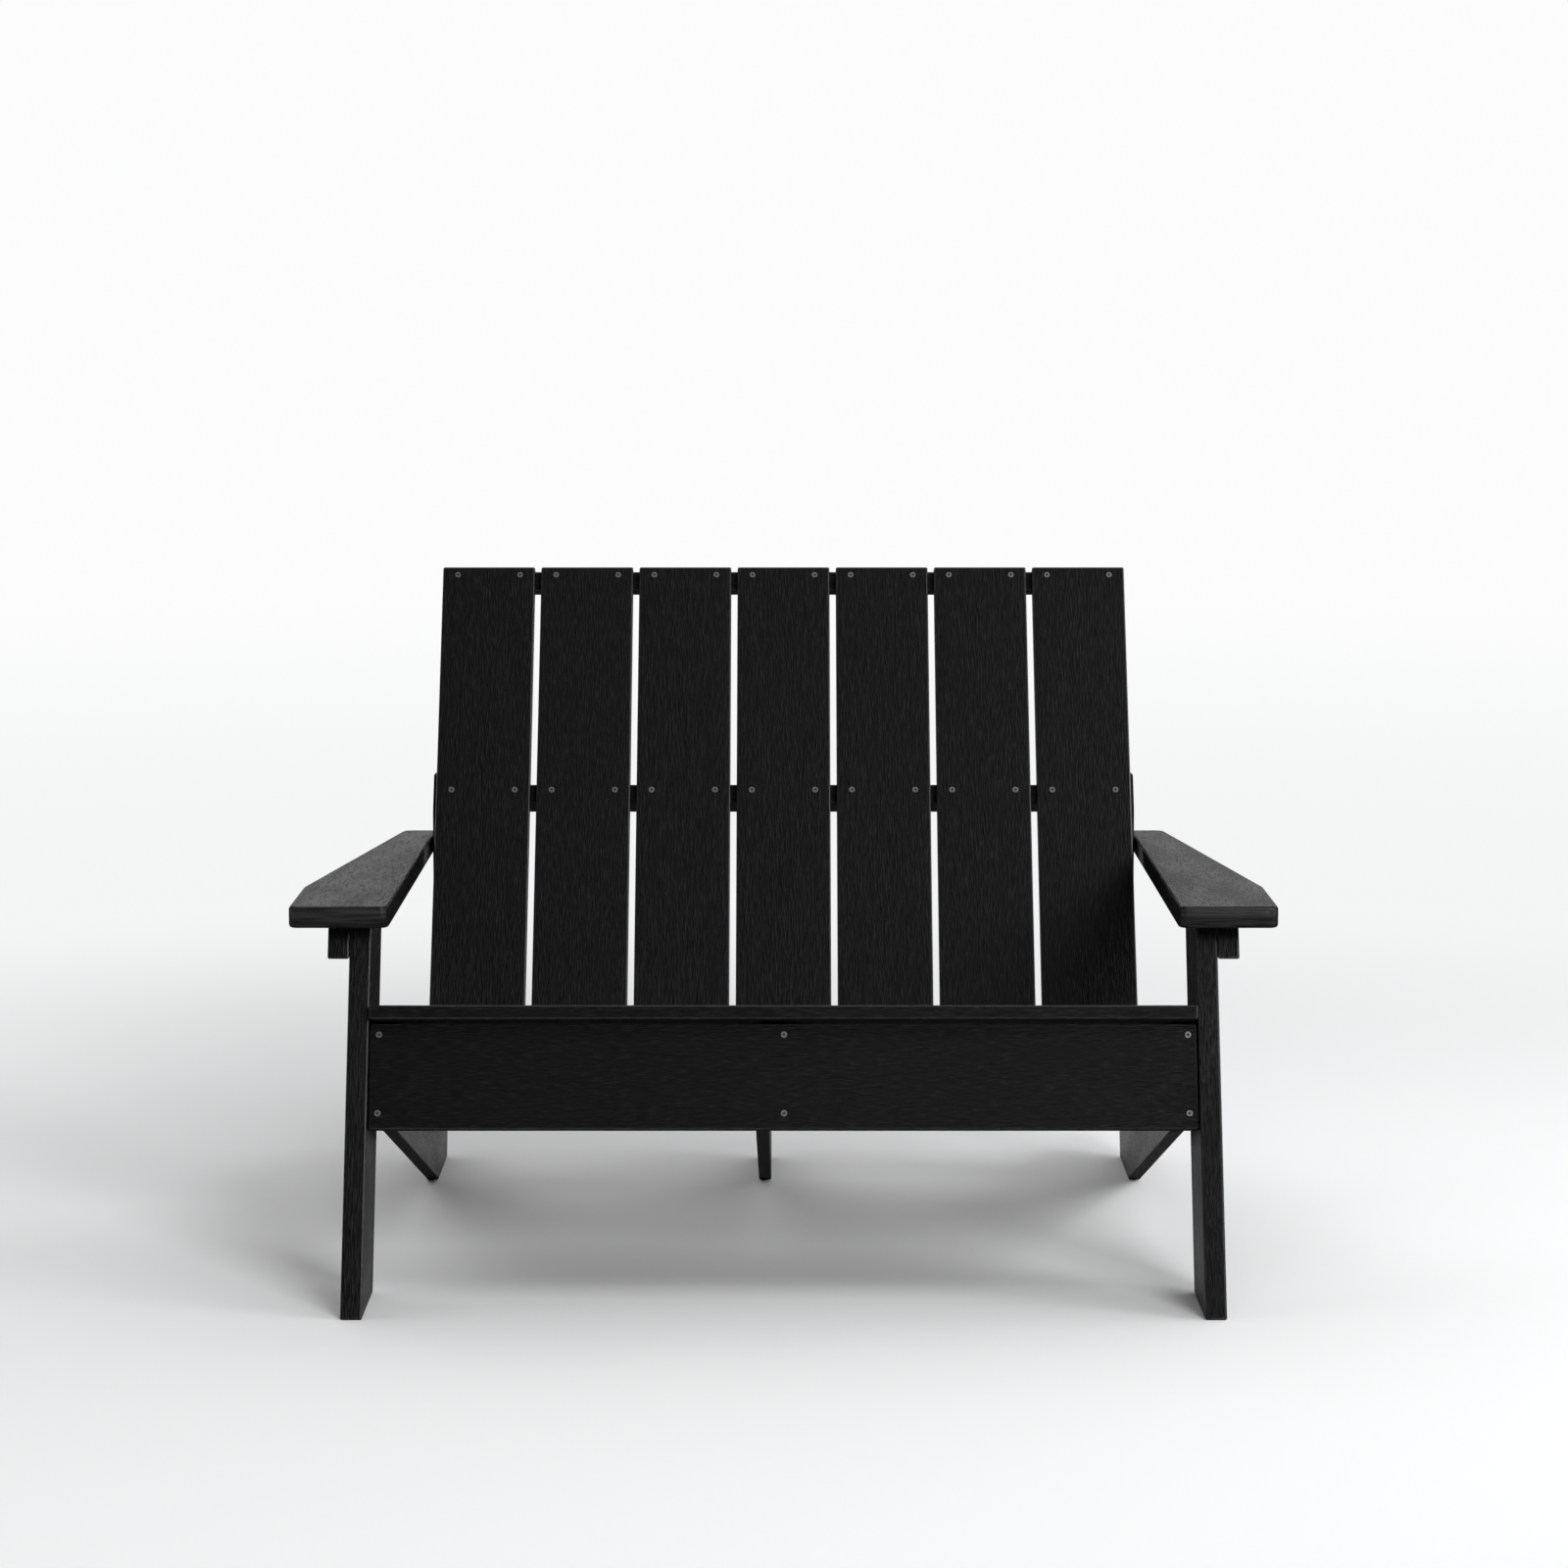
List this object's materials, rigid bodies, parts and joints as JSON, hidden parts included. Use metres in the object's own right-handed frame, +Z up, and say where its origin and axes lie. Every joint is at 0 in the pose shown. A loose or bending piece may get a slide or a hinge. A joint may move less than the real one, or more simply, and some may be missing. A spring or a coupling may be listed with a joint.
{
  "type": "adirondack loveseat",
  "caption": "Wide garden loveseat with a straight slatted back, sloping board seat, broad flat arms that taper to the rear and leaning plank front legs.",
  "frame": {"origin": "on the floor, under the middle of the whole loveseat's width and depth", "axes": "+X to the right as seen from the front, +Y from the front to the rear, +Z up"},
  "size_m": [1.3302, 1.0242, 0.9354],
  "materials": {
    "black_lumber": "embossed wood grain, low sheen",
    "fastener_steel": "dark coated"
  },
  "bodies": {
    "root": {"apron_cleat_centre": "black_lumber", "apron_cleat_left": "black_lumber", "apron_cleat_right": "black_lumber", "apron_screw_centre_lower": "fastener_steel", "apron_screw_centre_upper": "fastener_steel", "apron_screw_left_lower": "fastener_steel", "apron_screw_left_upper": "fastener_steel", "apron_screw_right_lower": "fastener_steel", "apron_screw_right_upper": "fastener_steel", "arm_bracket_left": "black_lumber", "arm_bracket_right": "black_lumber", "arm_left": "black_lumber", "arm_rear_screw_left": "fastener_steel", "arm_rear_screw_right": "fastener_steel", "arm_right": "black_lumber", "back_lower_rail": "black_lumber", "back_mid_rail": "black_lumber", "back_slat_1": "black_lumber", "back_slat_2": "black_lumber", "back_slat_3": "black_lumber", "back_slat_4": "black_lumber", "back_slat_5": "black_lumber", "back_slat_6": "black_lumber", "back_slat_7": "black_lumber", "back_top_rail": "black_lumber", "front_apron": "black_lumber", "front_leg_left": "black_lumber", "front_leg_right": "black_lumber", "leg_bolt_left_lower": "fastener_steel", "leg_bolt_left_upper": "fastener_steel", "leg_bolt_right_lower": "fastener_steel", "leg_bolt_right_upper": "fastener_steel", "leg_nut_left_lower": "fastener_steel", "leg_nut_left_upper": "fastener_steel", "leg_nut_right_lower": "fastener_steel", "leg_nut_right_upper": "fastener_steel", "leg_spacer_left": "black_lumber", "leg_spacer_right": "black_lumber", "lower_rail_screw_centre": "fastener_steel", "lower_rail_screw_left": "fastener_steel", "lower_rail_screw_right": "fastener_steel", "mid_rail_screw_left": "fastener_steel", "mid_rail_screw_right": "fastener_steel", "post_bolt_left_front": "fastener_steel", "post_bolt_left_rear": "fastener_steel", "post_bolt_right_front": "fastener_steel", "post_bolt_right_rear": "fastener_steel", "post_nut_left_front": "fastener_steel", "post_nut_left_rear": "fastener_steel", "post_nut_right_front": "fastener_steel", "post_nut_right_rear": "fastener_steel", "rear_post_left": "black_lumber", "rear_post_right": "black_lumber", "seat_slat_front": "black_lumber", "seat_slat_middle": "black_lumber", "seat_slat_rear": "black_lumber", "stringer_centre": "black_lumber", "stringer_left": "black_lumber", "stringer_right": "black_lumber"}
  },
  "joints": []
}
